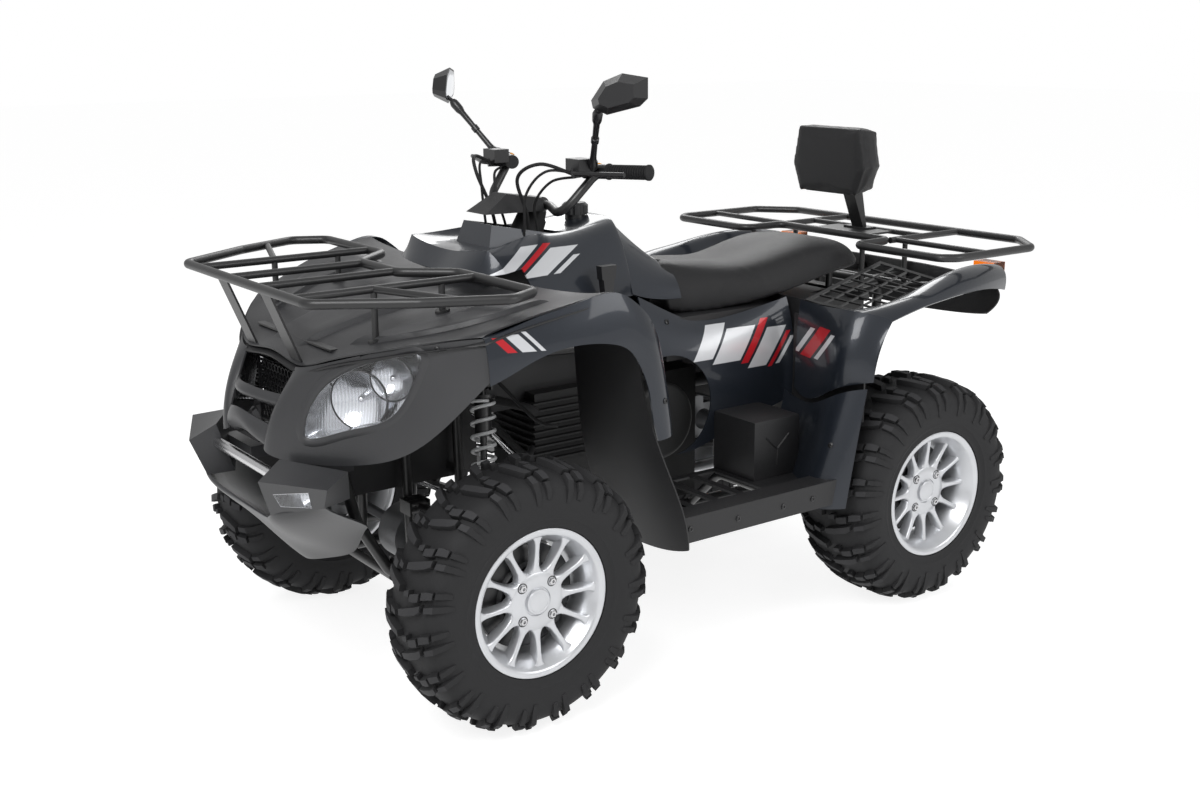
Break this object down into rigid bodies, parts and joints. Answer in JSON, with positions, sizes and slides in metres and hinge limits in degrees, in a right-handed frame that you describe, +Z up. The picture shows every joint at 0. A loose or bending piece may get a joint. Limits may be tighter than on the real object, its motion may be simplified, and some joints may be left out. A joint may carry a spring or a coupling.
{
  "type": "quad bike",
  "caption": "Utility quad bike with front and rear carry racks, a saddle seat with a backrest, mirrors, a tow hitch and steering front wheels.",
  "frame": {"origin": "on the ground, midway between the axles and midway between the left and right wheels", "axes": "+X to the rider's left, +Y to the rear, +Z up"},
  "size_m": [1.2, 2.236, 1.438],
  "materials": {
    "tyre": "matt tread rubber",
    "rim": "machined and lacquered",
    "steel_black": "black powder coat",
    "steel_rack": "textured black powder coat",
    "cast_grey": "cast, satin",
    "engine_grey": "satin grey",
    "steel_spring": "gloss light grey",
    "damper": "satin black",
    "exhaust_steel": "heat-proof matt black",
    "body_gloss": "gloss, dark metallic grey",
    "body_satin": "satin, dark grey",
    "body_matt": "grained black",
    "lamp_clear": "clear",
    "lamp_red": "red and amber",
    "seat_cover": "grained vinyl",
    "rubber_black": "ribbed",
    "steel_bright": "bare steel"
  },
  "bodies": {
    "chassis": {"front_arms": "steel_black", "rear_arms": "steel_black", "front_drive": "cast_grey", "rear_drive": "cast_grey", "shocks": "damper", "springs": "steel_spring", "rear_hubs": "cast_grey", "engine": "engine_grey", "exhaust": "exhaust_steel", "hood": "body_satin", "front_fender_left": "body_gloss", "front_fender_right": "body_gloss", "front_mudguards": "body_matt", "cowl": "body_satin", "headlights": "lamp_clear", "grille": "body_matt", "front_bumper": "body_satin", "fog_lamps": "lamp_clear", "bumper_bar": "steel_rack", "seat": "seat_cover", "tank_cover": "body_gloss", "fuel_cap": "body_matt", "side_panels": "body_gloss", "gear_lever": "body_matt", "rear_fender_left": "body_gloss", "rear_fender_right": "body_gloss", "rear_guards": "body_matt", "mesh_panels": "body_matt", "tail_panel": "body_matt", "tail_lamps": "lamp_red", "footboards": "body_matt", "frame": "steel_black", "front_rack": "steel_rack", "rear_rack": "steel_rack", "backrest_pad": "seat_cover", "backrest_post": "steel_rack", "tow_hitch": "steel_black"},
    "steering": {"handlebar": "steel_rack", "grips": "rubber_black", "bar_controls": "body_matt", "mirrors": "body_matt", "instrument_pod": "body_matt"},
    "knuckle_left": {"knuckle_left": "cast_grey"},
    "knuckle_right": {"knuckle_right": "cast_grey"},
    "tie_rod_left": {"tie_rod_left": "steel_bright"},
    "tie_rod_right": {"tie_rod_right": "steel_bright"},
    "wheel_front_left": {"tyre_front_left": "tyre", "rim_front_left": "rim"},
    "wheel_front_right": {"tyre_front_right": "tyre", "rim_front_right": "rim"},
    "wheel_rear_left": {"tyre_rear_left": "tyre", "rim_rear_left": "rim"},
    "wheel_rear_right": {"tyre_rear_right": "tyre", "rim_rear_right": "rim"}
  },
  "joints": [
    {"name": "steering_turn", "type": "hinge", "parent": "chassis", "child": "steering", "pos_m": [0, -0.576, 0.43], "axis": [0, 0.4377, 0.8991], "range_deg": [-35, 35]},
    {"name": "knuckle_turn_left", "type": "hinge", "parent": "chassis", "child": "knuckle_left", "pos_m": [0.432, -0.64, 0.312], "axis": [0, 0, 1], "range_deg": [-35, 35]},
    {"name": "knuckle_turn_right", "type": "hinge", "parent": "chassis", "child": "knuckle_right", "pos_m": [-0.432, -0.64, 0.312], "axis": [0, 0, 1], "range_deg": [-35, 35]},
    {"name": "tie_rod_turn_left", "type": "hinge", "parent": "knuckle_left", "child": "tie_rod_left", "pos_m": [0.432, -0.545, 0.374], "axis": [0, 0, 1], "range_deg": [-35, 35]},
    {"name": "tie_rod_turn_right", "type": "hinge", "parent": "knuckle_right", "child": "tie_rod_right", "pos_m": [-0.432, -0.545, 0.374], "axis": [0, 0, 1], "range_deg": [-35, 35]},
    {"name": "wheel_spin_front_left", "type": "hinge", "parent": "knuckle_left", "child": "wheel_front_left", "pos_m": [0.5, -0.64, 0.312], "axis": [1, 0, 0], "continuous": true},
    {"name": "wheel_spin_front_right", "type": "hinge", "parent": "knuckle_right", "child": "wheel_front_right", "pos_m": [-0.5, -0.64, 0.312], "axis": [1, 0, 0], "continuous": true},
    {"name": "wheel_spin_rear_left", "type": "hinge", "parent": "chassis", "child": "wheel_rear_left", "pos_m": [0.475, 0.64, 0.312], "axis": [1, 0, 0], "continuous": true},
    {"name": "wheel_spin_rear_right", "type": "hinge", "parent": "chassis", "child": "wheel_rear_right", "pos_m": [-0.475, 0.64, 0.312], "axis": [1, 0, 0], "continuous": true}
  ],
  "couplings": [
    {"joint": "knuckle_turn_left", "follows": "steering_turn", "ratio": 1},
    {"joint": "knuckle_turn_right", "follows": "steering_turn", "ratio": 1},
    {"joint": "tie_rod_turn_left", "follows": "steering_turn", "ratio": -1},
    {"joint": "tie_rod_turn_right", "follows": "steering_turn", "ratio": -1}
  ]
}
